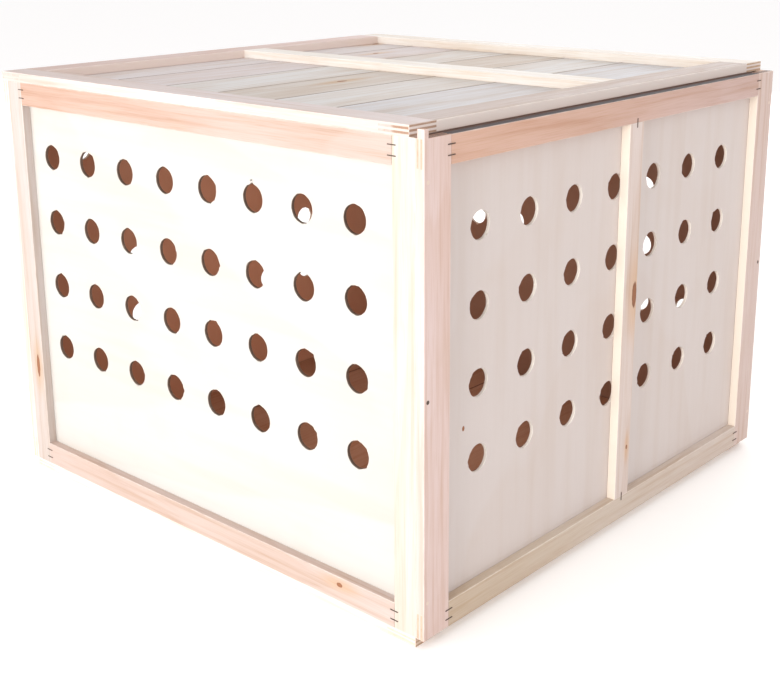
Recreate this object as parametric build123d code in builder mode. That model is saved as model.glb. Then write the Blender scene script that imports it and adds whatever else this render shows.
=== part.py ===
from build123d import *
import os

# Wooden pet crate: four framed walls with perforated plywood, a framed floor and a loose framed lid.
# Millimetres, +Z up. The front wall faces -Y and the right wall faces +X.
# The origin is at the middle of the footprint, on the surface that the crate stands on.

# Overall sizes
crate_length = 806.0  # along X, over the two end walls
crate_width = 800.0  # along Y, over the front and back walls
wall_height = 588.0
lid_ledge = 21.0  # top of the right wall that the lid leaves bare

# Battens, plywood and boards
batten_thickness = 13.0
rail_width = 33.0  # all rails, and the stiles of the front and back walls
end_stile_width = 45.0  # stiles of the left and right walls
member_width = 45.0  # members of the lid's and the floor's frames
mullion_width = 33.0
mullion_shift = 21.0  # from the middle of an end wall towards the back
edge_ease = 0.8  # rounding of the battens' long edges
finger_layers = 5  # layers of a comb joint, counted from the outer face
plywood_thickness = 5.0
plywood_drop = 10.0  # plywood's top edge below the top of the walls
board_thickness = 9.0
board_width = 109.0  # the lid's boards, apart from the last one
board_seam = 1.5
lid_boards = 6
floor_boards = 7
bar_shift = 49.5  # the lid's cross bar, from the middle towards the back

# Round holes
hole_diameter = 35.0
hole_rows = 4
side_hole_columns = 8  # front and back walls
side_hole_pitch = 85.5
side_row_pitch = 95.5
side_first_row = 105.0  # first row of holes below the top of the wall
side_hole_shift = -10.5  # middle of the pattern from the middle of the wall, towards the left wall
end_hole_columns = 7  # left and right walls
end_hole_pitch = 94.0
end_row_pitch = 95.0
end_first_row = 114.0
end_hole_shift = -4.5  # middle of the pattern from the middle of the wall, towards the front

# Clearances
board_play = 2.0  # boards' ends to the plywood of the front and back walls
lid_play = 2.0  # lid's boards to the left wall's plywood
lid_slack = 5.0  # lid's boards to the right wall's plywood
floor_play = 1.0  # floor boards to the end walls' plywood
metal_fit = 0.05  # round a nail or a staple's leg

# Untrimmed tip on the front stile of the right wall
tip_height = 10.0
tip_depth = 9.5  # inwards from the wall's outer face
tip_width = 7.0

# Nails, pins and staples
head_thickness = 0.8
wall_nail = {"length": 40.0, "shank": 2.2, "head": 5.0}
board_nail = {"length": 20.0, "shank": 1.8, "head": 4.0}
panel_pin = {"length": 12.0, "shank": 1.2, "head": 3.0}
corner_nail_count = 3
corner_nail_inset = 47.0  # outer corner nails from the top and the bottom of the wall
floor_nail_count = 4
floor_nail_inset = 94.0  # outer floor nails from the ends of the front and back walls
board_nail_inset = 22.0  # nails at a board's end from its long edges
pins_per_stile = 2
pins_per_rail = 3
staple_crown = 12.0
staple_wire = 1.2
staple_thickness = 0.6
staple_leg = 9.0
staple_spacing = 12.0

# Worked out from the sizes above
layer_thickness = batten_thickness / finger_layers
tongue_layers = range(1, finger_layers, 2)
finger_rows = range(0, finger_layers, 2)
side_length = crate_length - 2 * batten_thickness
wall_middle = batten_thickness + wall_height / 2
wall_top = batten_thickness + wall_height
room_length = side_length - 2 * plywood_thickness
room_width = crate_width - 2 * (batten_thickness + plywood_thickness)
lid_length = crate_length - lid_ledge
lid_middle = -lid_ledge / 2
plywood_height = wall_height - plywood_drop
board_length = room_width - 2 * board_play

# Outer faces: local x runs along the wall, local y runs up, and z points out of the crate
front_face = Plane(origin=(0, -crate_width / 2, wall_middle), x_dir=(1, 0, 0), z_dir=(0, -1, 0))
back_face = Plane(origin=(0, crate_width / 2, wall_middle), x_dir=(-1, 0, 0), z_dir=(0, 1, 0))
left_face = Plane(origin=(-crate_length / 2, 0, wall_middle), x_dir=(0, -1, 0), z_dir=(-1, 0, 0))
right_face = Plane(origin=(crate_length / 2, 0, wall_middle), x_dir=(0, 1, 0), z_dir=(1, 0, 0))

# On the lid and the floor, local y runs along X, and z points out of the crate
lid_face = Plane(origin=(0, 0, wall_top + batten_thickness), x_dir=(0, -1, 0), z_dir=(0, 0, 1))
floor_face = Plane(origin=(0, 0, 0), x_dir=(0, 1, 0), z_dir=(0, 0, -1))

os.makedirs("parts", exist_ok=True)


def save(piece, name):
    """Label a finished piece and write it under its name."""
    piece.part.label = name
    export_step(piece.part, f"parts/{name}.step")


def between(inset, length, count):
    """Evenly spaced places along a length, the outer ones an inset from its ends."""
    step = (length - 2 * inset) / (count - 1)
    return [inset - length / 2 + number * step for number in range(count)]


def shared_out(length, count):
    """The middles of equal shares of a length."""
    return between(length / count / 2, length, count)


def spots_on(face, points, depth=0.0, inward=False, along_y=False):
    """Places on a plane parallel to a face; inward turns the outward direction round."""
    x_dir = face.y_dir if along_y else face.x_dir
    z_dir = face.z_dir * (-1 if inward else 1)
    places = []
    for x, y in points:
        origin = face.origin + face.x_dir * x + face.y_dir * y - face.z_dir * depth
        places.append(Plane(origin=origin, x_dir=x_dir, z_dir=z_dir))
    return places


def crossing(spots, face, middle, size):
    """The spots that lie over a rectangle of a face."""
    inside = []
    for spot in spots:
        local = face.to_local_coords(spot.origin)
        if abs(local.X - middle[0]) < size[0] / 2 and abs(local.Y - middle[1]) < size[1] / 2:
            inside.append(spot)
    return inside


def drill(nail, spots):
    """Cut the holes of nails, heads sunk flush, out of the piece being built."""
    if spots:
        with Locations(*spots):
            CounterBoreHole(
                nail["shank"] / 2 + metal_fit,
                nail["head"] / 2 + metal_fit,
                head_thickness,
                nail["length"] + metal_fit,
            )


def slot_for_staples(spots):
    """Cut the slots of the staples' legs out of the piece being built."""
    reach = (staple_crown - staple_thickness) / 2
    if spots:
        with Locations(*spots):
            with Locations((reach, 0, 0), (-reach, 0, 0)):
                Box(
                    staple_thickness + 2 * metal_fit,
                    staple_wire + 2 * metal_fit,
                    staple_leg + metal_fit,
                    align=(Align.CENTER, Align.CENTER, Align.MAX),
                    mode=Mode.SUBTRACT,
                )


def make_nails(name, nail, spots):
    """A group of equal nails, each driven inwards from its spot."""
    with BuildPart() as nails:
        with Locations(*spots):
            Cylinder(nail["head"] / 2, head_thickness, align=(Align.CENTER, Align.CENTER, Align.MAX))
            Cylinder(nail["shank"] / 2, nail["length"], align=(Align.CENTER, Align.CENTER, Align.MAX))
    save(nails, name)


def make_staples(name, spots):
    """A group of staples, each with its crown on the face and two legs in the wood."""
    reach = (staple_crown - staple_thickness) / 2
    with BuildPart() as staples:
        with Locations(*spots):
            Box(staple_crown, staple_wire, staple_thickness, align=(Align.CENTER, Align.CENTER, Align.MIN))
            with Locations((reach, 0, 0), (-reach, 0, 0)):
                Box(
                    staple_thickness,
                    staple_wire,
                    staple_leg,
                    align=(Align.CENTER, Align.CENTER, Align.MAX),
                )
    save(staples, name)


def make_fingered(name, face, middle, size, joint_width, nails, small_nail, small_spots, staples, tip=False):
    """A member that runs the whole way along local y, with a comb joint's slots at both ends."""
    width, length = size
    joints = [(middle[0], middle[1] + end * (length - joint_width) / 2) for end in (-1, 1)]
    tip_middle = (middle[0] - (width - tip_width) / 2, middle[1] + (length + tip_height) / 2)
    with BuildPart() as batten:
        with BuildSketch(face):
            with Locations(middle):
                Rectangle(width, length)
        extrude(amount=-batten_thickness)
        fillet(batten.edges().filter_by(Axis((0, 0, 0), face.y_dir)), edge_ease)
        for layer in tongue_layers:
            with BuildSketch(face.offset(-layer * layer_thickness)):
                with Locations(*joints):
                    Rectangle(width, joint_width)
            extrude(amount=-layer_thickness, mode=Mode.SUBTRACT)
        if tip:
            with BuildSketch(face):
                with Locations(tip_middle):
                    Rectangle(tip_width, tip_height)
            extrude(amount=-tip_depth)
        drill(wall_nail, nails)
        drill(small_nail, crossing(small_spots, face, middle, size))
        slot_for_staples(staples)
    save(batten, name)


def make_tongued(name, face, middle, size, joint_width, nails, small_nail, small_spots, staples):
    """A member along local x, with a comb joint's tongues at both ends."""
    length, width = size
    joints = [(middle[0] + end * (length - joint_width) / 2, middle[1]) for end in (-1, 1)]
    with BuildPart() as batten:
        with BuildSketch(face):
            with Locations(middle):
                Rectangle(length, width)
        extrude(amount=-batten_thickness)
        fillet(batten.edges().filter_by(Axis((0, 0, 0), face.x_dir)), edge_ease)
        for layer in finger_rows:
            with BuildSketch(face.offset(-layer * layer_thickness)):
                with Locations(*joints):
                    Rectangle(joint_width, width)
            extrude(amount=-layer_thickness, mode=Mode.SUBTRACT)
        drill(wall_nail, nails)
        drill(small_nail, crossing(small_spots, face, middle, size))
        slot_for_staples(staples)
    save(batten, name)


def make_bar(name, face, middle, size, small_nail, small_spots, staples):
    """A plain batten along local y, between two members."""
    with BuildPart() as batten:
        with BuildSketch(face):
            with Locations(middle):
                Rectangle(*size)
        extrude(amount=-batten_thickness)
        fillet(batten.edges().filter_by(Axis((0, 0, 0), face.y_dir)), edge_ease)
        drill(small_nail, crossing(small_spots, face, middle, size))
        slot_for_staples(staples)
    save(batten, name)


def make_panel(name, face, width, holes, flip, pins):
    """The perforated plywood of a wall, behind its battens."""
    columns, pitch, row_pitch, first_row, shift = holes
    rows_middle = wall_height / 2 - first_row - (hole_rows - 1) * row_pitch / 2
    with BuildPart() as panel:
        with BuildSketch(face.offset(-batten_thickness)):
            with Locations((0, -plywood_drop / 2)):
                Rectangle(width, plywood_height)
            with Locations((flip * shift, rows_middle)):
                with GridLocations(pitch, row_pitch, columns, hole_rows):
                    Circle(hole_diameter / 2, mode=Mode.SUBTRACT)
        extrude(amount=-plywood_thickness)
        drill(panel_pin, pins)
    save(panel, name)


def make_wall(name, face, flip, widths, holes, mullion, end_nails, floor_nails, tip_side=0):
    """One wall; flip is 1 where local x runs the way that the shifts are measured, and -1 elsewhere."""
    width, stile_width, panel_width = widths
    stile_x = (width - stile_width) / 2
    rail_y = (wall_height - rail_width) / 2
    mullion_x = flip * mullion_shift

    # Pins from inside, through the plywood into the battens
    pin_x = (panel_width / 2 + width / 2 - stile_width) / 2
    pin_points = [(side * pin_x, y) for side in (-1, 1) for y in shared_out(wall_height, pins_per_stile)]
    pin_points += [(x, up * rail_y) for x in shared_out(width, pins_per_rail) for up in (-1, 1)]
    if mullion:
        pin_points.append((mullion_x, 0))
    pins = spots_on(face, pin_points, batten_thickness + plywood_thickness, inward=True)

    # Staples across the joints, in pairs at the corners
    corner_staples = {}
    for side in (-1, 1):
        for up in (-1, 1):
            heights = [up * rail_y - staple_spacing / 2, up * rail_y + staple_spacing / 2]
            seam_x = side * (width / 2 - stile_width)
            corner_staples[side, up] = spots_on(face, [(seam_x, y) for y in heights])
    mullion_staples = {-1: [], 1: []}
    if mullion:
        for up in (-1, 1):
            seam = (mullion_x, up * (wall_height / 2 - rail_width))
            mullion_staples[up] = spots_on(face, [seam], along_y=True)

    for side, label in ((-1, "left"), (1, "right")):
        make_fingered(
            f"{name}_{label}_stile",
            face,
            (side * stile_x, 0),
            (stile_width, wall_height),
            rail_width,
            end_nails[side],
            panel_pin,
            pins,
            corner_staples[side, -1] + corner_staples[side, 1],
            tip=side == tip_side,
        )
    for up, label in ((-1, "bottom"), (1, "top")):
        make_tongued(
            f"{name}_{label}_rail",
            face,
            (0, up * rail_y),
            (width, rail_width),
            stile_width,
            end_nails[-1] + end_nails[1] + (floor_nails if up == -1 else []),
            panel_pin,
            pins,
            corner_staples[-1, up] + corner_staples[1, up] + mullion_staples[up],
        )
    if mullion:
        make_bar(
            f"{name}_mullion",
            face,
            (mullion_x, 0),
            (mullion_width, wall_height - 2 * rail_width),
            panel_pin,
            pins,
            mullion_staples[-1] + mullion_staples[1],
        )
    make_panel(f"{name}_panel", face, panel_width, holes, flip, pins)
    all_staples = [spot for group in corner_staples.values() for spot in group]
    make_staples(f"{name}_staples", all_staples + mullion_staples[-1] + mullion_staples[1])
    return pins


def make_deck(name, face, middle, length, starts, widths, bar_x, frame_nails):
    """A frame with boards on its inner side, for the lid or the floor."""
    front_x = -face.x_dir.Y * (crate_width - member_width) / 2
    end_y = (length - member_width) / 2
    inner_end = length / 2 - member_width

    # Nails through the boards: two at each end, one at the cross bar, two along each outer board
    end_line = (board_length / 2 + crate_width / 2 - member_width) / 2
    nail_points = []
    for start, width in zip(starts, widths):
        for across in (start + board_nail_inset, start + width - board_nail_inset):
            nail_points += [(side * end_line, across) for side in (-1, 1)]
        nail_points.append((bar_x, start + width / 2))
    outer_lines = [
        (starts[0] + middle - inner_end) / 2,
        (starts[-1] + widths[-1] + middle + inner_end) / 2,
    ]
    nail_points += [(x, line) for line in outer_lines for x in shared_out(crate_width, 2)]
    nails = spots_on(face, nail_points, batten_thickness + board_thickness, inward=True)

    for label, x in (("front", front_x), ("back", -front_x)):
        make_fingered(
            f"{name}_{label}_member",
            face,
            (x, middle),
            (member_width, length),
            member_width,
            frame_nails,
            board_nail,
            nails,
            [],
        )
    for label, end in (("left", -1), ("right", 1)):
        make_tongued(
            f"{name}_{label}_member",
            face,
            (0, middle + end * end_y),
            (crate_width, member_width),
            member_width,
            frame_nails,
            board_nail,
            nails,
            [],
        )
    bar_size = (member_width, length - 2 * member_width)
    make_bar(f"{name}_cross_bar", face, (bar_x, middle), bar_size, board_nail, nails, [])

    for number, (start, width) in enumerate(zip(starts, widths), 1):
        with BuildPart() as board:
            with BuildSketch(face.offset(-batten_thickness)):
                with Locations((0, start + width / 2)):
                    Rectangle(board_length, width)
            extrude(amount=-board_thickness)
            drill(board_nail, crossing(nails, face, (0, start + width / 2), (board_length, width)))
        save(board, f"{name}_board_{number}")
    make_nails(f"{name}_board_nails", board_nail, nails)


# Nails through the end walls' stiles into the front and back walls
corner_nails = {}
for x_side in (-1, 1):
    for y_side in (-1, 1):
        nail_y = y_side * (crate_width - batten_thickness) / 2
        end_face = right_face if x_side == 1 else left_face
        heights = between(corner_nail_inset, wall_height, corner_nail_count)
        corner_nails[x_side, y_side] = spots_on(end_face, [(x_side * nail_y, z) for z in heights])

# Nails up through the floor's frame into the bottom rails of the front and back walls
floor_nails = {}
for y_side in (-1, 1):
    nail_y = y_side * (crate_width - batten_thickness) / 2
    along = between(floor_nail_inset, side_length, floor_nail_count)
    floor_nails[y_side] = spots_on(floor_face, [(nail_y, x) for x in along])

# Front and back walls, between the end walls
panel_pins = []
side_widths = (side_length, rail_width, side_length)
side_holes = (side_hole_columns, side_hole_pitch, side_row_pitch, side_first_row, side_hole_shift)
for name, face, y_side in (("front_wall", front_face, -1), ("back_wall", back_face, 1)):
    flip = -y_side
    end_nails = {end: corner_nails[flip * end, y_side] for end in (-1, 1)}
    panel_pins += make_wall(
        name, face, flip, side_widths, side_holes, False, end_nails, floor_nails[y_side]
    )

# Left and right walls, with a mullion
end_widths = (crate_width, end_stile_width, room_width)
end_holes = (end_hole_columns, end_hole_pitch, end_row_pitch, end_first_row, end_hole_shift)
for name, face, x_side, tip_side in (("left_wall", left_face, -1, 0), ("right_wall", right_face, 1, -1)):
    end_nails = {end: corner_nails[x_side, x_side * end] for end in (-1, 1)}
    panel_pins += make_wall(
        name, face, x_side, end_widths, end_holes, True, end_nails, [], tip_side
    )
make_nails("panel_pins", panel_pin, panel_pins)
make_nails("corner_nails", wall_nail, [spot for group in corner_nails.values() for spot in group])
make_nails("floor_frame_nails", wall_nail, floor_nails[-1] + floor_nails[1])

# Lid: equal boards from the left wall on, and a wider one at the right
lid_first = -room_length / 2 + lid_play
lid_end = room_length / 2 - lid_slack
lid_starts = [lid_first + number * (board_width + board_seam) for number in range(lid_boards)]
lid_widths = [board_width] * (lid_boards - 1) + [lid_end - lid_starts[-1]]
make_deck("lid", lid_face, lid_middle, lid_length, lid_starts, lid_widths, -bar_shift, [])

# Floor: equal boards that fill the room
floor_first = -room_length / 2 + floor_play
floor_board_width = (room_length - 2 * floor_play - (floor_boards - 1) * board_seam) / floor_boards
floor_starts = [floor_first + number * (floor_board_width + board_seam) for number in range(floor_boards)]
floor_widths = [floor_board_width] * floor_boards
all_floor_nails = floor_nails[-1] + floor_nails[1]
make_deck("floor", floor_face, 0, side_length, floor_starts, floor_widths, 0, all_floor_nails)
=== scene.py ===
import math
import bmesh
import bpy
import numpy as np
from mathutils import Matrix, Vector


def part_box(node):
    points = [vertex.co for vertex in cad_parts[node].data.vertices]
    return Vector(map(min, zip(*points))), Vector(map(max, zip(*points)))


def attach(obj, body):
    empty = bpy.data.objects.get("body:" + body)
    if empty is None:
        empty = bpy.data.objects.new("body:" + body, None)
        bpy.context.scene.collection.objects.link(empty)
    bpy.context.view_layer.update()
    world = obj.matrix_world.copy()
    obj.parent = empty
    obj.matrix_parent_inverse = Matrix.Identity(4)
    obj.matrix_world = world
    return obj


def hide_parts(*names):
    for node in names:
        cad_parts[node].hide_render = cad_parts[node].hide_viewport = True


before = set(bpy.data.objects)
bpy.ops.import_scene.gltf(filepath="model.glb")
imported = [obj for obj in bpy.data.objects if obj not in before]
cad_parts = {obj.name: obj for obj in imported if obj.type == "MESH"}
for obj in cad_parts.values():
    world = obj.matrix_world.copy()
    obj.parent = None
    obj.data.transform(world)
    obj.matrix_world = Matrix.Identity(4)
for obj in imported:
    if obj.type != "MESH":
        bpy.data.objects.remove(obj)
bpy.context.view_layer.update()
print("frame loaded:", len(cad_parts), "nodes")

mm = 0.001


# Small helpers for node trees

def addNode(tree, kind, inputs=None, **settings):
    node = tree.nodes.new(kind)
    for key, value in settings.items():
        setattr(node, key, value)
    for key, value in (inputs or {}).items():
        if isinstance(value, bpy.types.NodeSocket):
            tree.links.new(value, node.inputs[key])
        else:
            node.inputs[key].default_value = value
    return node


def math2(tree, operation, a, b=0.0):
    return addNode(tree, "ShaderNodeMath", {0: a, 1: b}, operation=operation).outputs[0]


def vector2(tree, operation, a, b=(0, 0, 0)):
    node = addNode(tree, "ShaderNodeVectorMath", {0: a, 1: b}, operation=operation)
    return node.outputs["Value" if operation == "LENGTH" else "Vector"]


def ramp(tree, value, low, high, toLow=0.0, toHigh=1.0):
    # smooth step from low to high
    inputs = {"Value": value, "From Min": low, "From Max": high, "To Min": toLow, "To Max": toHigh}
    return addNode(tree, "ShaderNodeMapRange", inputs, interpolation_type="SMOOTHSTEP").outputs["Result"]


def mixColour(tree, share, a, b, blend="MIX"):
    node = addNode(tree, "ShaderNodeMix", data_type="RGBA", blend_type=blend)
    for socket, value in ((node.inputs[0], share), (node.inputs[6], a), (node.inputs[7], b)):
        if isinstance(value, bpy.types.NodeSocket):
            tree.links.new(value, socket)
        else:
            socket.default_value = value if isinstance(value, float) else (*value, 1.0)[:4]
    return node.outputs[2]


def newGroup(name, inputs, outputs):
    group = bpy.data.node_groups.new(name, "ShaderNodeTree")
    for label, kind, value in inputs:
        socket = group.interface.new_socket(name=label, in_out="INPUT", socket_type="NodeSocket" + kind)
        if value is not None:
            socket.default_value = value
    for label, kind in outputs:
        group.interface.new_socket(name=label, in_out="OUTPUT", socket_type="NodeSocket" + kind)
    return group, group.nodes.new("NodeGroupInput"), group.nodes.new("NodeGroupOutput")


# Wood figure: distance from a warped pith line, cut into rings that darken towards their outer side
def makeFigureGroup():
    group, given, out = newGroup(
        "woodFigure",
        [("Vector", "Vector", None), ("Pith", "Vector", (0.02, 0.03, 0)), ("RingWidth", "Float", 0.0035),
         ("Warp", "Float", 0.004)],
        [("Ring", "Float"), ("Fibre", "Float"), ("Cloud", "Float"), ("Streak", "Float")],
    )
    place = given.outputs["Vector"]
    slow = vector2(group, "MULTIPLY", place, (1.0, 1.0, 0.10))
    swirl = addNode(group, "ShaderNodeTexNoise", {"Vector": slow, "Scale": 11.0, "Detail": 2.0})
    centred = vector2(group, "SUBTRACT", swirl.outputs["Color"], (0.5, 0.5, 0.5))
    scaled = addNode(
        group, "ShaderNodeVectorMath", {0: centred, "Scale": given.outputs["Warp"]}, operation="SCALE",
    )
    flat = vector2(group, "MULTIPLY", place, (1.0, 1.0, 0.012))
    fromPith = vector2(group, "ADD", flat, given.outputs["Pith"])
    moved = vector2(group, "ADD", fromPith, scaled.outputs["Vector"])
    far = vector2(group, "LENGTH", moved)
    turns = math2(group, "DIVIDE", far, given.outputs["RingWidth"])
    phase = math2(group, "FRACT", turns)
    late = ramp(group, phase, 0.30, 0.92)
    drop = ramp(group, phase, 0.92, 1.0, 1.0, 0.0)
    yearNumber = math2(group, "FLOOR", turns)
    year = addNode(group, "ShaderNodeTexWhiteNoise", {"W": yearNumber}, noise_dimensions="1D")
    strength = ramp(group, year.outputs["Value"], 0.0, 1.0, 0.35, 1.0)
    ring = math2(group, "MULTIPLY", math2(group, "MULTIPLY", late, drop), strength)
    fine = addNode(
        group, "ShaderNodeTexNoise",
        {"Vector": vector2(group, "MULTIPLY", place, (1.0, 1.0, 0.022)), "Scale": 950.0, "Detail": 3.0},
    )
    cloud = addNode(
        group, "ShaderNodeTexNoise",
        {"Vector": vector2(group, "MULTIPLY", place, (1.0, 1.0, 0.22)), "Scale": 8.0, "Detail": 3.0},
    )
    streak = addNode(
        group, "ShaderNodeTexNoise",
        {"Vector": vector2(group, "MULTIPLY", place, (1.0, 1.0, 0.03)), "Scale": 130.0, "Detail": 2.0},
    )
    for label, value in (("Ring", ring), ("Fibre", fine.outputs["Fac"]), ("Cloud", cloud.outputs["Fac"]),
                         ("Streak", streak.outputs["Fac"])):
        group.links.new(value, out.inputs[label])
    return group


# A knot through the thickness: an oval with a dark rim, and a halo where the wood round it is darker
def makeKnotGroup():
    group, given, out = newGroup(
        "knot",
        [("Vector", "Vector", None), ("Centre", "Vector", (0, 0, 0)), ("Radius", "Float", 0.004),
         ("Stretch", "Float", 0.6)],
        [("Core", "Float"), ("Rim", "Float"), ("Halo", "Float")],
    )
    away = vector2(group, "SUBTRACT", given.outputs["Vector"], given.outputs["Centre"])
    wobble = addNode(group, "ShaderNodeTexNoise", {"Vector": given.outputs["Vector"], "Scale": 160.0})
    shape = addNode(group, "ShaderNodeCombineXYZ", {"Y": 1.0, "Z": given.outputs["Stretch"]}).outputs[0]
    oval = vector2(group, "LENGTH", vector2(group, "MULTIPLY", away, shape))
    share = math2(group, "DIVIDE", oval, given.outputs["Radius"])
    share = math2(group, "ADD", share, math2(group, "MULTIPLY", wobble.outputs["Fac"], 0.5))
    share = math2(group, "SUBTRACT", share, 0.25)
    core = ramp(group, share, 0.8, 1.05, 1.0, 0.0)
    rim = math2(group, "MULTIPLY", ramp(group, share, 0.6, 0.95), ramp(group, share, 1.0, 1.25, 1.0, 0.0))
    longOval = vector2(group, "LENGTH", vector2(group, "MULTIPLY", away, (0.0, 1.0, 0.25)))
    halo = ramp(group, math2(group, "DIVIDE", longOval, given.outputs["Radius"]), 0.8, 5.0, 1.0, 0.0)
    for label, value in (("Core", core), ("Rim", rim), ("Halo", halo)):
        group.links.new(value, out.inputs[label])
    return group


# Light marks of handling: broad soft smudges and sparse thin scratches along the piece
def makeHandlingGroup():
    group, given, out = newGroup(
        "handling",
        [("Vector", "Vector", None), ("Amount", "Float", 1.0)],
        [("Smudge", "Float"), ("Scratch", "Float")],
    )
    broad = addNode(
        group, "ShaderNodeTexNoise",
        {"Vector": given.outputs["Vector"], "Scale": 14.0, "Detail": 4.0},
    )
    smudge = math2(group, "MULTIPLY", ramp(group, broad.outputs["Fac"], 0.52, 0.75), given.outputs["Amount"])
    thin = addNode(
        group, "ShaderNodeTexNoise",
        {"Vector": vector2(group, "MULTIPLY", given.outputs["Vector"], (1.0, 1.0, 0.05)), "Scale": 420.0},
    )
    scratch = math2(group, "MULTIPLY", ramp(group, thin.outputs["Fac"], 0.70, 0.78), given.outputs["Amount"])
    group.links.new(smudge, out.inputs["Smudge"])
    group.links.new(scratch, out.inputs["Scratch"])
    return group


# Nearness to a piece's edges, which gives battens a painted highlight and boards a painted seam shade. The
# second smallest of the distances to its three pairs of faces is how far the nearest edge is, and noise
# makes the line uneven.
edgeUneven = 2.2 * mm


def makeEdgeGroup():
    group, given, out = newGroup(
        "edgeNearness",
        [("Vector", "Vector", None), ("Half Size", "Vector", (0.01, 0.02, 0.1)), ("Width", "Float", 0.0012)],
        [("Near Edge", "Float")],
    )
    fromMiddle = vector2(group, "ABSOLUTE", given.outputs["Vector"])
    inset = vector2(group, "SUBTRACT", given.outputs["Half Size"], fromMiddle)
    thin, wide, long = addNode(group, "ShaderNodeSeparateXYZ", {0: inset}).outputs[:3]
    nearer = math2(group, "MINIMUM", thin, wide)
    farther = math2(group, "MAXIMUM", thin, wide)
    away = math2(group, "MAXIMUM", nearer, math2(group, "MINIMUM", farther, long))
    uneven = addNode(
        group, "ShaderNodeTexNoise",
        {"Vector": given.outputs["Vector"], "Scale": 55.0, "Detail": 3.0},
    )
    shift = math2(group, "MULTIPLY", math2(group, "SUBTRACT", uneven.outputs["Fac"], 0.5), edgeUneven)
    share = math2(group, "DIVIDE", math2(group, "ADD", away, shift), given.outputs["Width"])
    group.links.new(ramp(group, share, 0.15, 1.0, 1.0, 0.0), out.inputs["Near Edge"])
    return group


figureGroup = makeFigureGroup()
edgeGroup = makeEdgeGroup()
knotGroup = makeKnotGroup()
handlingGroup = makeHandlingGroup()

wood = {
    "lateShade": (0.80, 0.62, 0.46),  # each shade is what the tone is multiplied by
    "fibreShade": (0.93, 0.89, 0.84),
    "cloudShade": (0.92, 0.86, 0.80),
    "streakShade": (0.90, 0.83, 0.76),
    "endShade": (0.66, 0.47, 0.33),  # end grain is darker
    "floorTone": (0.56, 0.40, 0.31),  # the floor boards, browner and darker
    "seamShadowTone": (0.20, 0.12, 0.09),  # painted shade on the boards' side faces, so that the seams between boards look dark
    "ledgeShadowTone": (0.05, 0.048, 0.055),  # painted shadow on the ledge beside the lid, where the lid shades it
    "knotCore": (0.30, 0.12, 0.055),
    "knotRim": (0.24, 0.095, 0.045),
    "haloShade": (0.98, 0.79, 0.58),
    "haloShare": 0.8,
    "smudgeTone": (0.55, 0.40, 0.28),
    "smudgeShare": 0.10,
    "batten": {  # painted highlight along the edges
        "edgeTone": (0.90, 0.83, 0.77), "edgeShare": 0.35, "edgeWidth": 1.2 * mm,
        "pithAside": 0.035, "contrast": 0.16,
    },
    "board": {  # painted shade along the seams
        "edgeTone": (0.26, 0.17, 0.13), "edgeShare": 0.75, "edgeWidth": 1.7 * mm,
        "pithAside": 0.05, "contrast": 0.26,
    },
    "pithDepth": (0.03, 0.02),  # least, and what a random draw adds
    "ringWidth": (0.0030, 0.0012),
    "warp": (0.010, 0.008),
    "contrastSpread": 0.08,
    "figureStep": 1.37,  # how far apart along the grain two pieces take their figure
    "facing": (0.6, 0.9),  # how squarely a face looks along an axis to count as an end, side or top
    "endFade": 8 * mm,
    "roughness": (0.52, 0.74),
    "specular": 0.35,
    "bumpDepth": 0.25 * mm,
}


def pieceVector(tree, centre, axes):
    # Object coordinates from the piece's middle, turned so that Z is the grain and X the thickness
    coords = addNode(tree, "ShaderNodeTexCoord")
    centred = vector2(tree, "SUBTRACT", coords.outputs["Object"], tuple(centre))
    parts = addNode(tree, "ShaderNodeSeparateXYZ", {0: centred})
    turned = addNode(tree, "ShaderNodeCombineXYZ")
    for slot, axis in enumerate(axes):
        tree.links.new(parts.outputs[axis], turned.inputs[slot])
    normalParts = addNode(tree, "ShaderNodeSeparateXYZ", {0: coords.outputs["Normal"]})
    return turned.outputs[0], normalParts.outputs


def newMaterial(name):
    material = bpy.data.materials.new(name)
    material.use_nodes = True
    material.node_tree.nodes.clear()
    return material, material.node_tree


def showShader(tree, inputs):
    shader = addNode(tree, "ShaderNodeBsdfPrincipled", inputs)
    addNode(tree, "ShaderNodeOutputMaterial", {"Surface": shader.outputs["BSDF"]})


def useKnot(tree, place, centre, radius, stretch):
    inputs = {"Vector": place, "Centre": centre, "Radius": radius, "Stretch": stretch}
    return addNode(tree, "ShaderNodeGroup", inputs, node_tree=knotGroup).outputs


def multiplied(tree, colour, shade):
    return mixColour(tree, 1.0, colour, shade, "MULTIPLY")


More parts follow.
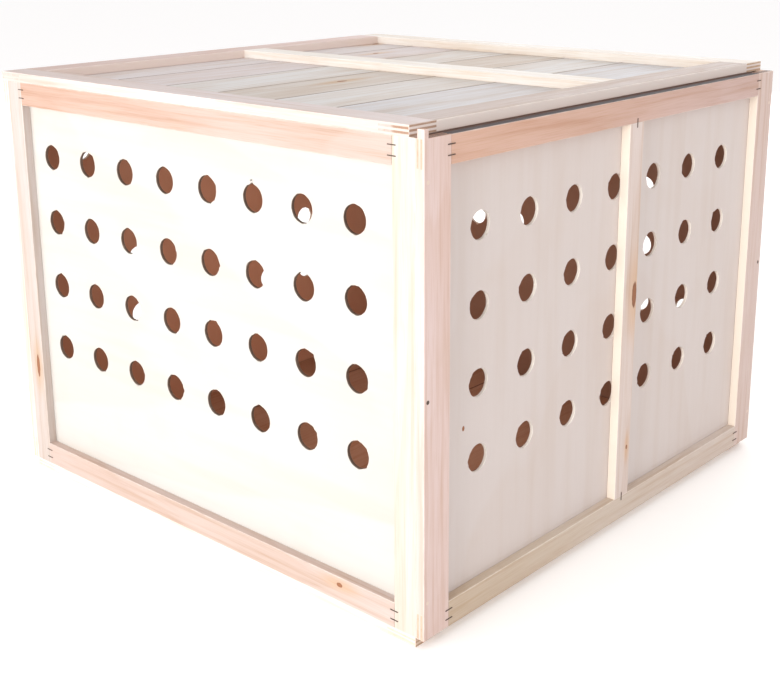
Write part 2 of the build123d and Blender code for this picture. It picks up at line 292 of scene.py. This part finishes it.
def woodMaterial(name, look):
    axes = look["axes"]
    material, tree = newMaterial(name)
    place, normals = pieceVector(tree, look["centre"], axes)
    offset = vector2(tree, "ADD", place, (0.0, 0.0, look["seed"] * wood["figureStep"]))
    figure = addNode(
        tree, "ShaderNodeGroup",
        {"Vector": offset, "Pith": look["pith"], "RingWidth": look["ringWidth"], "Warp": look["warp"]},
        node_tree=figureGroup,
    )
    marks = addNode(tree, "ShaderNodeGroup", {"Vector": offset}, node_tree=handlingGroup)

    late = math2(tree, "MULTIPLY", figure.outputs["Ring"], look["contrast"])
    shade = mixColour(tree, late, (1.0, 1.0, 1.0), wood["lateShade"])
    colour = multiplied(tree, look["tone"], shade)
    # painted light and shade: the colour changes along the piece from one end shade to the other
    if look["drift"]:
        along = addNode(tree, "ShaderNodeSeparateXYZ", {0: place}).outputs[2]
        share = ramp(tree, along, -look["halfSize"][2], look["halfSize"][2])
        colour = multiplied(tree, colour, mixColour(tree, share, *look["drift"]))
    for output, key, low, high in (("Cloud", "cloudShade", 0.42, 0.68),
                                   ("Streak", "streakShade", 0.45, 0.75),
                                   ("Fibre", "fibreShade", 0.45, 0.75)):
        share = ramp(tree, figure.outputs[output], low, high)
        colour = multiplied(tree, colour, mixColour(tree, share, (1.0, 1.0, 1.0), wood[key]))
    smudge = math2(tree, "MULTIPLY", marks.outputs["Smudge"], wood["smudgeShare"])
    colour = mixColour(tree, smudge, colour, wood["smudgeTone"])
    endMask = ramp(tree, math2(tree, "ABSOLUTE", normals[axes[2]]), *wood["facing"])
    if look["endReach"]:  # the end grain is only dark near the outer edge
        outer = addNode(tree, "ShaderNodeSeparateXYZ", {0: place}).outputs[1]
        edgeAt = look["halfSize"][1] - look["endReach"]
        endMask = math2(tree, "MULTIPLY", endMask, ramp(tree, outer, edgeAt - wood["endFade"], edgeAt))
    endColour = multiplied(tree, colour, wood["endShade"])
    colour = mixColour(tree, math2(tree, "MULTIPLY", endMask, look["endGrain"]), colour, endColour)
    # Side faces take a painted tone: painted highlights on battens whose sides the lamps light, painted
    # shade on boards' sides in their seams
    if look["paintedSideShare"]:
        sideFacing = math2(tree, "ABSOLUTE", normals[axes[1]])
        paintedSideMask = ramp(tree, sideFacing, *wood["facing"], 0.0, look["paintedSideShare"])
        colour = mixColour(tree, paintedSideMask, colour, look["paintedSideTone"])
    # the ledge's top face gets a painted shadow, near black, for the shade the lid casts on it
    if look["ledgeShadow"]:
        ledgeShadowMask = ramp(tree, normals[2], *wood["facing"], 0.0, look["ledgeShadow"])
        colour = mixColour(tree, ledgeShadowMask, colour, wood["ledgeShadowTone"])
    for centre, radius, stretch in look["knots"]:
        knot = useKnot(tree, place, centre, radius, stretch)
        halo = math2(tree, "MULTIPLY", knot["Halo"], wood["haloShare"])
        colour = mixColour(tree, halo, colour, multiplied(tree, colour, wood["haloShade"]))
        colour = mixColour(tree, knot["Core"], colour, wood["knotCore"])
        colour = mixColour(tree, knot["Rim"], colour, wood["knotRim"])

    edge = addNode(
        tree, "ShaderNodeGroup",
        {"Vector": place, "Half Size": look["halfSize"], "Width": look["edgeWidth"]},
        node_tree=edgeGroup,
    )
    # the edges get a painted highlight on battens and a painted shade at the board seams
    edgeLightShare = math2(tree, "MULTIPLY", edge.outputs["Near Edge"], look["edgeShare"])
    colour = mixColour(tree, edgeLightShare, colour, look["edgeTone"])
    roughness = ramp(tree, figure.outputs["Fibre"], 0.3, 0.7, *wood["roughness"])
    rings = math2(tree, "MULTIPLY", figure.outputs["Ring"], 0.5)
    height = math2(tree, "ADD", rings, figure.outputs["Fibre"])
    height = math2(tree, "SUBTRACT", height, math2(tree, "MULTIPLY", marks.outputs["Scratch"], 0.6))
    height = math2(tree, "SUBTRACT", height, edge.outputs["Near Edge"])
    bump = addNode(
        tree, "ShaderNodeBump",
        {"Height": height, "Strength": 0.5, "Distance": wood["bumpDepth"]},
    )
    showShader(tree, {"Base Color": colour, "Roughness": roughness, "Normal": bump.outputs["Normal"],
                      "Specular IOR Level": wood["specular"]})
    return material


# Plywood: a rotary-cut face, plies that show in the holes, and darker glue lines between them
plywood = {
    "plies": 3,
    "glueShade": (0.62, 0.45, 0.32),
    "glueLine": (0.05 * mm, 0.22 * mm),  # half width of its dark core and of its fading edge
    "crossPlyShade": (0.80, 0.66, 0.52),
    "pith": (0.05, 0.01, 0.0),
    "ringWidth": 0.0042,
    "warp": 0.012,
    "peeling": (1.0, 0.30, 0.8),  # a rotary cut spreads the figure across the sheet
    "cloudShare": 0.25,
    "smudgeShare": 0.06,
    "innerShare": 0.9,
    "facing": (0.35, 0.75),
    "specular": 0.3,
}


def plywoodMaterial(name, look):
    material, tree = newMaterial(name)
    place, normals = pieceVector(tree, look["centre"], look["axes"])
    offset = vector2(tree, "ADD", place, (0.0, 0.0, look["seed"] * wood["figureStep"]))
    figure = addNode(
        tree, "ShaderNodeGroup",
        {"Vector": vector2(tree, "MULTIPLY", offset, plywood["peeling"]), "Pith": plywood["pith"],
         "RingWidth": plywood["ringWidth"], "Warp": plywood["warp"]},
        node_tree=figureGroup,
    )
    marks = addNode(tree, "ShaderNodeGroup", {"Vector": offset}, node_tree=handlingGroup)
    late = math2(tree, "MULTIPLY", figure.outputs["Ring"], look["contrast"])
    shade = mixColour(tree, late, (1.0, 1.0, 1.0), wood["lateShade"])
    colour = multiplied(tree, look["tone"], shade)
    for output, key in (("Cloud", "cloudShade"), ("Streak", "streakShade")):
        share = ramp(tree, figure.outputs[output], 0.45, 0.72)
        share = math2(tree, "MULTIPLY", share, plywood["cloudShare"])
        colour = multiplied(tree, colour, mixColour(tree, share, (1.0, 1.0, 1.0), wood[key]))
    smudge = math2(tree, "MULTIPLY", marks.outputs["Smudge"], plywood["smudgeShare"])
    colour = mixColour(tree, smudge, colour, wood["smudgeTone"])
    for centre, radius, stretch in look["knots"]:
        core = useKnot(tree, place, centre, radius, stretch)["Core"]
        colour = mixColour(tree, core, colour, wood["knotCore"])

    # Through the thickness: the middle ply is end grain, with a glue line on each side of it
    depth = addNode(tree, "ShaderNodeSeparateXYZ", {0: place}).outputs[0]
    outward = math2(tree, "MULTIPLY", depth, look["outward"])
    middle = math2(tree, "ABSOLUTE", outward)
    half = look["thickness"] / 2
    plyEdge = half / plywood["plies"]
    crossPly = ramp(tree, middle, plyEdge * 0.9, plyEdge * 1.1, 1.0, 0.0)
    glueOff = math2(tree, "ABSOLUTE", math2(tree, "SUBTRACT", middle, plyEdge))
    glue = ramp(tree, glueOff, *plywood["glueLine"], 1.0, 0.0)
    colour = mixColour(tree, crossPly, colour, multiplied(tree, colour, plywood["crossPlyShade"]))
    colour = mixColour(tree, glue, colour, multiplied(tree, colour, plywood["glueShade"]))
    # the hole walls take cutTone: painted shade on the front sheet, painted light on the right sheet
    flat = math2(tree, "ABSOLUTE", normals[look["axes"][0]])
    cut = ramp(tree, flat, *plywood["facing"], look["cutShare"], 0.0)
    colour = mixColour(tree, cut, colour, look["cutTone"])
    # the inner face takes innerTone, painted shade and light for the dim inside of the crate
    inner = ramp(tree, outward, -half * 0.98, -half * 0.9, 1.0, 0.0)
    inner = math2(tree, "MULTIPLY", inner, ramp(tree, flat, *plywood["facing"]))
    inner = math2(tree, "MULTIPLY", inner, plywood["innerShare"])
    colour = mixColour(tree, inner, colour, multiplied(tree, look["innerTone"], shade))
    roughness = ramp(tree, figure.outputs["Fibre"], 0.3, 0.7, *wood["roughness"])
    rings = math2(tree, "MULTIPLY", figure.outputs["Ring"], 0.3)
    height = math2(tree, "ADD", rings, figure.outputs["Fibre"])
    bump = addNode(
        tree, "ShaderNodeBump",
        {"Height": height, "Strength": 0.4, "Distance": wood["bumpDepth"]},
    )
    showShader(tree, {"Base Color": colour, "Roughness": roughness, "Normal": bump.outputs["Normal"],
                      "Specular IOR Level": plywood["specular"]})
    return material


# Staples, nails and pins: drawn wire with stains
steel = {
    "tone": (0.13, 0.10, 0.085),
    "rust": (0.10, 0.05, 0.03),
    "filler": (0.72, 0.58, 0.49),
    "fillerFade": 5 * mm,
    "bareHeads": (307 * mm, 120 * mm),  # middle height of the nail heads left bare, and reach from it
    "roughness": (0.35, 0.6),
    "metallic": (0.9, 0.35),  # clean and stained
    "bumpDepth": 0.1 * mm,
}


def steelMaterial(name, bareHeads=None):
    material, tree = newMaterial(name)
    place = addNode(tree, "ShaderNodeTexCoord").outputs["Object"]
    spots = addNode(tree, "ShaderNodeTexNoise", {"Vector": place, "Scale": 900.0, "Detail": 3.0})
    drawn = addNode(tree, "ShaderNodeTexNoise", {"Vector": place, "Scale": 2600.0})
    stain = ramp(tree, spots.outputs["Fac"], 0.48, 0.62)
    colour = mixColour(tree, stain, steel["tone"], steel["rust"])
    roughness = ramp(tree, spots.outputs["Fac"], 0.35, 0.65, *steel["roughness"])
    metallic = ramp(tree, stain, 0.0, 1.0, *steel["metallic"])
    if bareHeads:  # heads farther from middle height are sunk under wood filler
        middle, reach = bareHeads
        height = addNode(tree, "ShaderNodeSeparateXYZ", {0: place}).outputs["Z"]
        off = math2(tree, "ABSOLUTE", math2(tree, "SUBTRACT", height, middle))
        filled = ramp(tree, off, reach, reach + steel["fillerFade"])
        colour = mixColour(tree, filled, colour, steel["filler"])
        metallic = math2(tree, "MULTIPLY", metallic, math2(tree, "SUBTRACT", 1.0, filled))
    bump = addNode(
        tree, "ShaderNodeBump",
        {"Height": drawn.outputs["Fac"], "Strength": 0.4, "Distance": steel["bumpDepth"]},
    )
    showShader(tree, {"Base Color": colour, "Roughness": roughness, "Metallic": metallic,
                      "Normal": bump.outputs["Normal"]})
    return material


def giveMaterial(obj, material):
    obj.data.materials.clear()
    obj.data.materials.append(material)


# Tones of the battens and boards are linear colours. Knots are (along, across, radius, stretch), in metres
# from a piece's middle; stretch under 1 makes the oval longer along the grain.
tones = {
    "front_wall_left_stile": (0.57, 0.51, 0.49),
    "front_wall_right_stile": (0.65, 0.61, 0.56),
    "front_wall_top_rail": (0.55, 0.42, 0.37),
    "front_wall_bottom_rail": (0.58, 0.46, 0.42),
    "right_wall_left_stile": (0.73, 0.58, 0.55),
    "right_wall_right_stile": (0.66, 0.53, 0.49),
    "right_wall_mullion": (0.69, 0.59, 0.55),
    "right_wall_top_rail": (0.62, 0.43, 0.37),
    "right_wall_bottom_rail": (0.62, 0.53, 0.46),
    "lid_front_member": (0.70, 0.63, 0.63),
    "lid_back_member": (0.85, 0.82, 0.78),
    "lid_left_member": (0.72, 0.59, 0.57),
    "lid_right_member": (0.55, 0.47, 0.44),
    "lid_cross_bar": (0.85, 0.82, 0.78),
    "left_wall_right_stile": (0.84, 0.75, 0.70),
    "floor_front_member": (0.78, 0.74, 0.71),
    "lid_board_1": (0.66, 0.61, 0.61),
    "lid_board_2": (0.66, 0.60, 0.60),
    "lid_board_3": (0.67, 0.65, 0.64),
    "lid_board_4": (0.61, 0.56, 0.52),
    "lid_board_5": (0.66, 0.64, 0.63),
    "lid_board_6": (0.61, 0.60, 0.62),
}
plainTones = ((0.78, 0.63, 0.53), (0.75, 0.58, 0.48), (0.80, 0.67, 0.58), (0.74, 0.60, 0.50))
knotSpots = {
    "right_wall_mullion": [(0.029, 0.0105, 0.0048, 0.30), (-0.19, 0.008, 0.0018, 0.6)],
    "front_wall_left_stile": [(-0.137, 0.0035, 0.0034, 0.22)],
    "front_wall_bottom_rail": [(0.267, 0.006, 0.0026, 0.6)],
    "lid_board_1": [(0.344, -0.024, 0.0042, 0.6)],
    "lid_board_2": [(0.22, -0.02, 0.0035, 0.6)],
    "lid_board_4": [(-0.099, -0.012, 0.0040, 0.5)],
    "left_wall_mullion": [(0.12, 0.004, 0.005, 0.5)],
    "back_wall_top_rail": [(0.21, 0.003, 0.004, 0.6), (-0.18, -0.006, 0.0025, 0.6)],
    "back_wall_left_stile": [(-0.14, 0.002, 0.004, 0.5)],
    "left_wall_bottom_rail": [(-0.25, 0.0, 0.0045, 0.6)],
    "floor_board_3": [(0.15, 0.02, 0.006, 0.6)],
    "floor_board_5": [(-0.2, -0.03, 0.007, 0.6)],
}
# Shades that a rail's tone is multiplied by at its two ends: a painted gradient of light and shade along it
drifts = {
    "front_wall_top_rail": ((1.0, 0.91, 0.86), (1.0, 1.05, 1.08)),
    "front_wall_bottom_rail": ((0.97, 0.96, 0.94), (1.0, 1.04, 1.06)),
    "right_wall_top_rail": ((1.05, 0.97, 0.87), (0.96, 1.03, 1.11)),
    "right_wall_bottom_rail": ((0.96, 0.95, 0.88), (1.02, 1.02, 1.05)),
    "lid_left_member": ((0.90, 0.88, 0.86), (1.05, 1.05, 1.05)),
}


def fromDraw(key, draw):
    least, more = wood[key]
    return least + more * abs(draw)


def axesOf(lo, hi):
    # thinnest, middle and longest axis of a piece
    size = [hi[i] - lo[i] for i in range(3)]
    return tuple(sorted(range(3), key=lambda i: size[i]))


# Painted highlights: brighter tones for the side faces that the lamps light
paintedSideLights = {"lid_right_member": (0.84, 0.75, 0.70), "lid_left_member": (0.80, 0.68, 0.62),
             "right_wall_mullion": (0.92, 0.84, 0.73), "right_wall_right_stile": (0.92, 0.84, 0.73)}
# Pieces whose end grain hardly shows
paleEnds = ("lid_left_member", "right_wall_top_rail", "right_wall_bottom_rail", "left_wall_top_rail",
            "left_wall_bottom_rail", "floor_left_member", "floor_right_member")
metalEndings = ("_nails", "_pins", "_staples")
seedSource = np.random.RandomState(24)
woodNodes = [n for n in sorted(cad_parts) if not n.endswith((*metalEndings, "_panel"))]
for index, node in enumerate(woodNodes):
    lo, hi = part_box(node)
    axes = axesOf(lo, hi)
    draws = seedSource.uniform(-1, 1, 6)
    isBoard = "_board_" in node
    onFloor = node.startswith("floor_board")
    kind = wood["board" if isBoard else "batten"]
    look = {
        "tone": tones.get(node, wood["floorTone"] if onFloor else plainTones[index % len(plainTones)]),
        "axes": axes,
        "centre": (lo + hi) / 2,
        "seed": index + 1,
        "pith": (fromDraw("pithDepth", draws[0]), kind["pithAside"] * draws[1], 0.0),
        "ringWidth": fromDraw("ringWidth", draws[2]),
        "warp": fromDraw("warp", draws[3]),
        "contrast": kind["contrast"] + wood["contrastSpread"] * draws[4],
        "endGrain": 0.0 if node in paleEnds else 0.9,
        # painted seam shade on the boards' sides, and painted highlights on the sides of the battens listed
        # above
        "paintedSideShare": 0.85 if isBoard or node in paintedSideLights else 0.0,
        "paintedSideTone": paintedSideLights.get(node, wood["seamShadowTone"]),
        "drift": drifts.get(node),
        "halfSize": [(hi - lo)[axis] / 2 for axis in axes],
        "endReach": 20 * mm if node == "lid_right_member" else 0.0,
        # painted shadow on the top face of the right wall's top rail, beside the lid
        "ledgeShadow": 0.95 if node == "right_wall_top_rail" else 0.0,
        "knots": [((0.0, across, along), radius, stretch)
                  for along, across, radius, stretch in knotSpots.get(node, [])],
        "edgeTone": kind["edgeTone"],
        "edgeShare": kind["edgeShare"],
        "edgeWidth": kind["edgeWidth"],
    }
    giveMaterial(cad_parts[node], woodMaterial("wood_" + node, look))
print("battens and boards have their wood:", len(woodNodes))

steelWire = steelMaterial("steelWire")
filledNails = steelMaterial("filledNails", steel["bareHeads"])
for node in sorted(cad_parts):
    if node.endswith(metalEndings):
        giveMaterial(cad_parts[node], filledNails if node == "corner_nails" else steelWire)
print("staples, nails and pins have their steel")


# Meshes from arrays

def meshFrom(name, points, quads, smooth):
    mesh = bpy.data.meshes.new(name)
    mesh.vertices.add(len(points))
    mesh.vertices.foreach_set("co", np.asarray(points, np.float32).ravel())
    corners = np.asarray(quads, np.int32)
    mesh.loops.add(corners.size)
    mesh.loops.foreach_set("vertex_index", corners.ravel())
    mesh.polygons.add(len(corners))
    mesh.polygons.foreach_set("loop_start", np.arange(0, corners.size, 4, dtype=np.int32))
    mesh.polygons.foreach_set("use_smooth", np.asarray(smooth, bool))
    mesh.update(calc_edges=True)
    mesh.validate()
    obj = bpy.data.objects.new(name, mesh)
    bpy.context.scene.collection.objects.link(obj)
    return obj


def mergeDoubles(obj, distance=0.002 * mm):
    work = bmesh.new()
    work.from_mesh(obj.data)
    bmesh.ops.remove_doubles(work, verts=work.verts, dist=distance)
    bmesh.ops.recalc_face_normals(work, faces=work.faces)
    work.to_mesh(obj.data)
    work.free()
    obj.data.update()


# Perforated panels. Each hole has a cell of the sheet: rings of points run from the cell's oblong edge in to
# the hole's frayed rim, through the thickness and out to the same edge on the inner face.
holes = {
    "radius": 17.5 * mm,
    "rows": 4,
    "sideColumns": (-309.75 * mm, 85.5 * mm, 8),  # front and back walls: first along X, pitch and count
    "sideTopRow": (496.0 * mm, 95.5 * mm),  # height of the top row, and pitch down
    "endColumns": (-286.5 * mm, 94.0 * mm, 7),  # left and right walls, along Y
    "endTopRow": (487.0 * mm, 95.0 * mm),
    "stepsPerSide": 20,
    "flatRing": 4.5 * mm,  # last flat ring of points round the rim
    "waves": (3, 25),  # waves of the fray round a rim, from and below
    "fray": 0.22 * mm,
    "chipsPerFace": 5,
    "chip": 3.0 * mm,
    "chipWidth": (0.05, 0.18),  # widths and spreads are angles
    "chipSpread": 0.7,
    "tip": 1.1 * mm,  # fibres torn where the cut runs along the grain
    "tipWidth": 0.16,
    "tipSpread": 0.06,
    "innerInset": 0.1 * mm,  # heads of the pins stand this proud
}


def angleGap(angle, spot):
    return np.abs((angle - spot + np.pi) % (2 * np.pi) - np.pi)


def panelMesh(name, look):
    lo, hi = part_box(look["node"])
    normalAxis, outwardSign = look["normalAxis"], look["outward"]
    along = 1 - normalAxis  # X on the front and back walls, Y on the end walls
    thickness = hi[normalAxis] - lo[normalAxis]
    wall = "side" if normalAxis == 1 else "end"
    first, pitch, count = holes[wall + "Columns"]
    topRow = holes[wall + "TopRow"]
    centresU = first + pitch * np.arange(count)
    centresV = (topRow[0] - topRow[1] * np.arange(holes["rows"]))[::-1]
    edgesU = np.concatenate([[lo[along]], (centresU[1:] + centresU[:-1]) / 2, [hi[along]]])
    edgesV = np.concatenate([[lo[2]], (centresV[1:] + centresV[:-1]) / 2, [hi[2]]])
    cells = [(i, j) for i in range(count) for j in range(holes["rows"])]
    n = holes["stepsPerSide"]
    step = np.arange(n) / n
    one = np.ones(n)
    unitU = np.concatenate([step, one, 1 - step, 0 * one])
    unitV = np.concatenate([0 * one, step, one, 1 - step])
    quarters = [np.linspace(k, k + 0.5, n, endpoint=False) for k in (-0.75, -0.25, 0.25, 0.75)]
    angle = np.concatenate(quarters) * np.pi
    draw = np.random.RandomState(look["draw"])
    waves = np.arange(*holes["waves"])
    grainTurn = np.pi / 2 * look["chipTurn"]
    radius = holes["radius"]
    inner = thickness - holes["innerInset"]
    outer = hi[normalAxis] if outwardSign > 0 else lo[normalAxis]
    points, quads, smooth = [], [], []
    total = 0
    for i, j in cells:
        size = draw.uniform(0.3, 1.0, (2, len(waves))) / np.sqrt(waves)
        phase = draw.uniform(0, 2 * np.pi, (2, len(waves)))
        turning = np.cos(waves[None, :, None] * angle + phase[:, :, None])
        rough = (size[:, :, None] * turning).sum(1) * holes["fray"]
        chips = np.zeros((2, len(angle)))
        for side in (0, 1):
            for _ in range(holes["chipsPerFace"]):
                spot = draw.choice([0.0, np.pi]) + draw.normal(0, holes["chipSpread"]) + grainTurn
                wide = draw.uniform(*holes["chipWidth"])
                bell = np.exp(-((angleGap(angle, spot) / wide) ** 2))
                chips[side] += draw.uniform(0.2, 1.0) ** 2 * bell * holes["chip"]
            for end in (0.0, np.pi):
                turn = end + grainTurn + draw.normal(0, holes["tipSpread"])
                bell = np.exp(-((angleGap(angle, turn) / holes["tipWidth"]) ** 2))
                chips[side] += draw.uniform(0.4, 1.0) * bell * holes["tip"]
        u, v = centresU[i], centresV[j]
        edgeU = edgesU[i] + (edgesU[i + 1] - edgesU[i]) * unitU
        edgeV = edgesV[j] + (edgesV[j + 1] - edgesV[j]) * unitV
        rings = [  # radius and depth of each ring, None for the cell's edge
            (None, 0.0),
            (radius + holes["flatRing"], 0.0),
            (radius + 0.55 * mm + chips[0], 0.0),
            (radius + 0.25 * mm + 0.75 * chips[0] + 0.4 * rough[0], 0.16 * mm),
            (radius + 0.5 * chips[0] + 0.5 * rough[0], 0.6 * mm),
            (radius + 0.3 * chips[0] + 0.15 * rough[0], 1.6 * mm),
            (radius + 0.15 * rough[1], 3.4 * mm),
            (radius + 0.5 * rough[1], inner - 0.5 * mm),
            (radius + 0.3 * mm + 0.5 * chips[1] + 0.4 * rough[1], inner - 0.12 * mm),
            (radius + 0.6 * mm + chips[1], inner),
            (radius + holes["flatRing"], inner),
            (None, inner),
        ]
        for ring, depth in rings:
            ringU = edgeU if ring is None else u + ring * np.cos(angle)
            ringV = edgeV if ring is None else v + ring * np.sin(angle)
            place = np.zeros((4 * n, 3))
            place[:, along] = ringU
            place[:, 2] = ringV
            place[:, normalAxis] = outer - outwardSign * depth
            points.append(place)
        a = np.arange(4 * n)
        b = (a + 1) % (4 * n)
        levels = len(rings)
        for level in range(levels - 1):
            lower, upper = total + level * 4 * n, total + (level + 1) * 4 * n
            quads.append(np.stack([lower + a, lower + b, upper + b, upper + a], 1))
            smooth.append(np.full(4 * n, 2 <= level <= levels - 4))  # the rim, not the flat faces
        # the sheet's own edge, where the cell lies on it
        border = np.zeros(4 * n, bool)
        border[0:n] = j == 0
        border[n:2 * n] = i == count - 1
        border[2 * n:3 * n] = j == holes["rows"] - 1
        border[3 * n:] = i == 0
        rim, back = total + a[border], total + (levels - 1) * 4 * n + a[border]
        rimNext, backNext = total + b[border], total + (levels - 1) * 4 * n + b[border]
        quads.append(np.stack([rim, back, backNext, rimNext], 1))
        smooth.append(np.zeros(border.sum(), bool))
        total += levels * 4 * n
    look = dict(look, centre=(lo + hi) / 2, thickness=thickness)
    obj = meshFrom(name, np.concatenate(points), np.concatenate(quads), np.concatenate(smooth))
    giveMaterial(obj, plywoodMaterial("plywood_" + name, look))
    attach(obj, "crate")
    mergeDoubles(obj)
    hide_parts(look["node"])


# The four sheets. axes give the thickness, and the ways across and along the face's grain; chipTurn is 1
# where chips sit at the top and bottom of a hole, and 0 where they sit at its sides. cutTone is a painted
# tone on
# the hole walls: painted shade on the front sheet, painted light on the right sheet. innerTone is painted
# shade and light for the dim inside of the crate, darker on the back sheet and brighter orange on the left
# one.
panels = {
    "frontSheet": {
        "node": "front_wall_panel", "normalAxis": 1, "outward": -1, "draw": 1, "seed": 61,
        "axes": (1, 2, 0), "chipTurn": 1, "tone": (0.60, 0.585, 0.56), "contrast": 0.10,
        "cutTone": (0.13, 0.08, 0.055), "cutShare": 0.85, "innerTone": (0.50, 0.33, 0.23),
        "knots": [],
    },
    "backSheet": {
        "node": "back_wall_panel", "normalAxis": 1, "outward": 1, "draw": 2, "seed": 62,
        "axes": (1, 2, 0), "chipTurn": 1, "tone": (0.80, 0.74, 0.68), "contrast": 0.16,
        "cutTone": (0.42, 0.29, 0.20), "cutShare": 0.6, "innerTone": (0.27, 0.13, 0.075),
        "knots": [((0.0, 0.12, -0.22), 0.003, 0.6)],
    },
    "leftSheet": {
        "node": "left_wall_panel", "normalAxis": 0, "outward": -1, "draw": 3, "seed": 63,
        "axes": (0, 1, 2), "chipTurn": 0, "tone": (0.79, 0.73, 0.67), "contrast": 0.16,
        "cutTone": (0.42, 0.29, 0.20), "cutShare": 0.6, "innerTone": (0.80, 0.47, 0.32),
        "knots": [((0.0, -0.2, 0.1), 0.0025, 0.6)],
    },
    "rightSheet": {
        "node": "right_wall_panel", "normalAxis": 0, "outward": 1, "draw": 4, "seed": 64,
        "axes": (0, 1, 2), "chipTurn": 0, "tone": (0.65, 0.58, 0.55), "contrast": 0.09,
        "cutTone": (0.92, 0.87, 0.80), "cutShare": 0.9, "innerTone": (0.50, 0.33, 0.23),
        "knots": [((0.0, -0.3145, -0.054), 0.0024, 0.7)],
    },
}
for name, look in panels.items():
    panelMesh(name, look)
print("perforated sheets made")


# Floor, light and camera
stage = {"size": 60.0, "tone": (0.90, 0.89, 0.88), "roughness": 0.9, "cameraGlow": 0.32}
studio = {
    "horizon": (0.60, 0.585, 0.57),
    "zenith": (0.95, 0.95, 0.97),
    "rise": (0.05, 0.8),  # where the sky leaves the horizon's colour and reaches the zenith's
    "strength": 1.0,
    "seen": 1.9,  # how bright the camera itself sees it, so that the backdrop looks white
}
lights = {
    "windowLight": {"place": (-1.0, -4.1, 1.1), "aim": (0.0, 0.0, 0.35), "size": (2.8, 2.0), "power": 72.0,
                    "colour": (1.0, 0.975, 0.95)},
    "sideLight": {"place": (0.98, -4.0, 1.0), "aim": (0.1, 0.0, 0.3), "size": (1.1, 1.8), "power": 84.0,
                  "colour": (1.0, 0.97, 0.93)},
    "rightFill": {"place": (4.0, 0.6, 1.2), "aim": (0.0, 0.0, 0.3), "size": (2.6, 2.0), "power": 24.0,
                  "colour": (1.0, 0.95, 0.93)},
    "backFill": {"place": (-1.6, 4.0, 1.5), "aim": (0.0, 0.0, 0.3), "size": (3.0, 2.4), "power": 62.0,
                 "colour": (1.0, 0.98, 0.96)},
    "insideGlow": {"place": (0.0, 0.0, 0.30), "aim": (0.0, 0.0, 0.0), "size": (0.4, 0.4), "power": 1.25,
                   "colour": (1.0, 0.60, 0.44)},
}
cameraSet = {"place": (1.2485, -1.3869, 0.8195), "azimuth": 42.19, "elevation": 15.05, "roll": -0.38,
             "lens": 58.3, "sensor": 36.0, "shiftY": -0.110, "farthest": 200.0}

floorMesh = bpy.data.meshes.new("paleFloor")
half = stage["size"] / 2
floorCorners = [(-half, -half, 0), (half, -half, 0), (half, half, 0), (-half, half, 0)]
floorMesh.from_pydata(floorCorners, [], [(0, 1, 2, 3)])
paleFloor = bpy.data.objects.new("paleFloor", floorMesh)
bpy.context.scene.collection.objects.link(paleFloor)
floorMaterial = bpy.data.materials.new("paleFloor")
floorMaterial.use_nodes = True
floorTree = floorMaterial.node_tree
floorShader = floorTree.nodes["Principled BSDF"]
floorShader.inputs["Base Color"].default_value = (*stage["tone"], 1.0)
floorShader.inputs["Roughness"].default_value = stage["roughness"]
floorShader.inputs["Emission Color"].default_value = (*studio["horizon"], 1.0)
floorRay = addNode(floorTree, "ShaderNodeLightPath").outputs["Is Camera Ray"]
floorGlow = math2(floorTree, "MULTIPLY", floorRay, stage["cameraGlow"])
floorTree.links.new(floorGlow, floorShader.inputs["Emission Strength"])
giveMaterial(paleFloor, floorMaterial)

world = bpy.data.worlds.new("studio")
world.use_nodes = True
bpy.context.scene.world = world
skyTree = world.node_tree
background = skyTree.nodes["Background"]
skyWay = addNode(skyTree, "ShaderNodeTexCoord").outputs["Generated"]
skyHeight = addNode(skyTree, "ShaderNodeSeparateXYZ", {0: skyWay}).outputs["Z"]
skyShare = ramp(skyTree, skyHeight, *studio["rise"])
skyColour = mixColour(skyTree, skyShare, studio["horizon"], studio["zenith"])
skyTree.links.new(skyColour, background.inputs["Color"])
skyRay = addNode(skyTree, "ShaderNodeLightPath").outputs["Is Camera Ray"]
skyStrength = ramp(skyTree, skyRay, 0.0, 1.0, studio["strength"], studio["seen"])
skyTree.links.new(skyStrength, background.inputs["Strength"])

for name, light in lights.items():
    inside = name == "insideGlow"
    data = bpy.data.lights.new(name, "POINT" if inside else "AREA")
    if inside:
        data.shadow_soft_size = light["size"][0] / 2
    else:
        data.shape = "RECTANGLE"
        data.size, data.size_y = light["size"]
    data.energy = light["power"]
    data.color = light["colour"]
    lamp = bpy.data.objects.new(name, data)
    bpy.context.scene.collection.objects.link(lamp)
    lamp.location = light["place"]
    lamp.rotation_euler = (Vector(light["aim"]) - Vector(light["place"])).to_track_quat("-Z", "Y").to_euler()

azimuth, elevation, roll = (math.radians(cameraSet[k]) for k in ("azimuth", "elevation", "roll"))
back = Vector((math.sin(azimuth) * math.cos(elevation), -math.cos(azimuth) * math.cos(elevation),
               math.sin(elevation)))
level = (-back).cross(Vector((0, 0, 1))).normalized()
upright = level.cross(-back)
sideways = level * math.cos(roll) + upright * math.sin(roll)
upwards = upright * math.cos(roll) - level * math.sin(roll)
cameraData = bpy.data.cameras.new("photoCamera")
cameraData.lens = cameraSet["lens"]
cameraData.sensor_width = cameraSet["sensor"]
cameraData.shift_y = cameraSet["shiftY"]
cameraData.clip_end = cameraSet["farthest"]
camera = bpy.data.objects.new("photoCamera", cameraData)
bpy.context.scene.collection.objects.link(camera)
turned = Matrix((sideways, upwards, back)).transposed().to_4x4()
camera.matrix_world = Matrix.Translation(cameraSet["place"]) @ turned
bpy.context.scene.camera = camera
bpy.context.scene.view_settings.view_transform = "Standard"  # keeps pale wood from turning grey
print("stage, light and camera set")
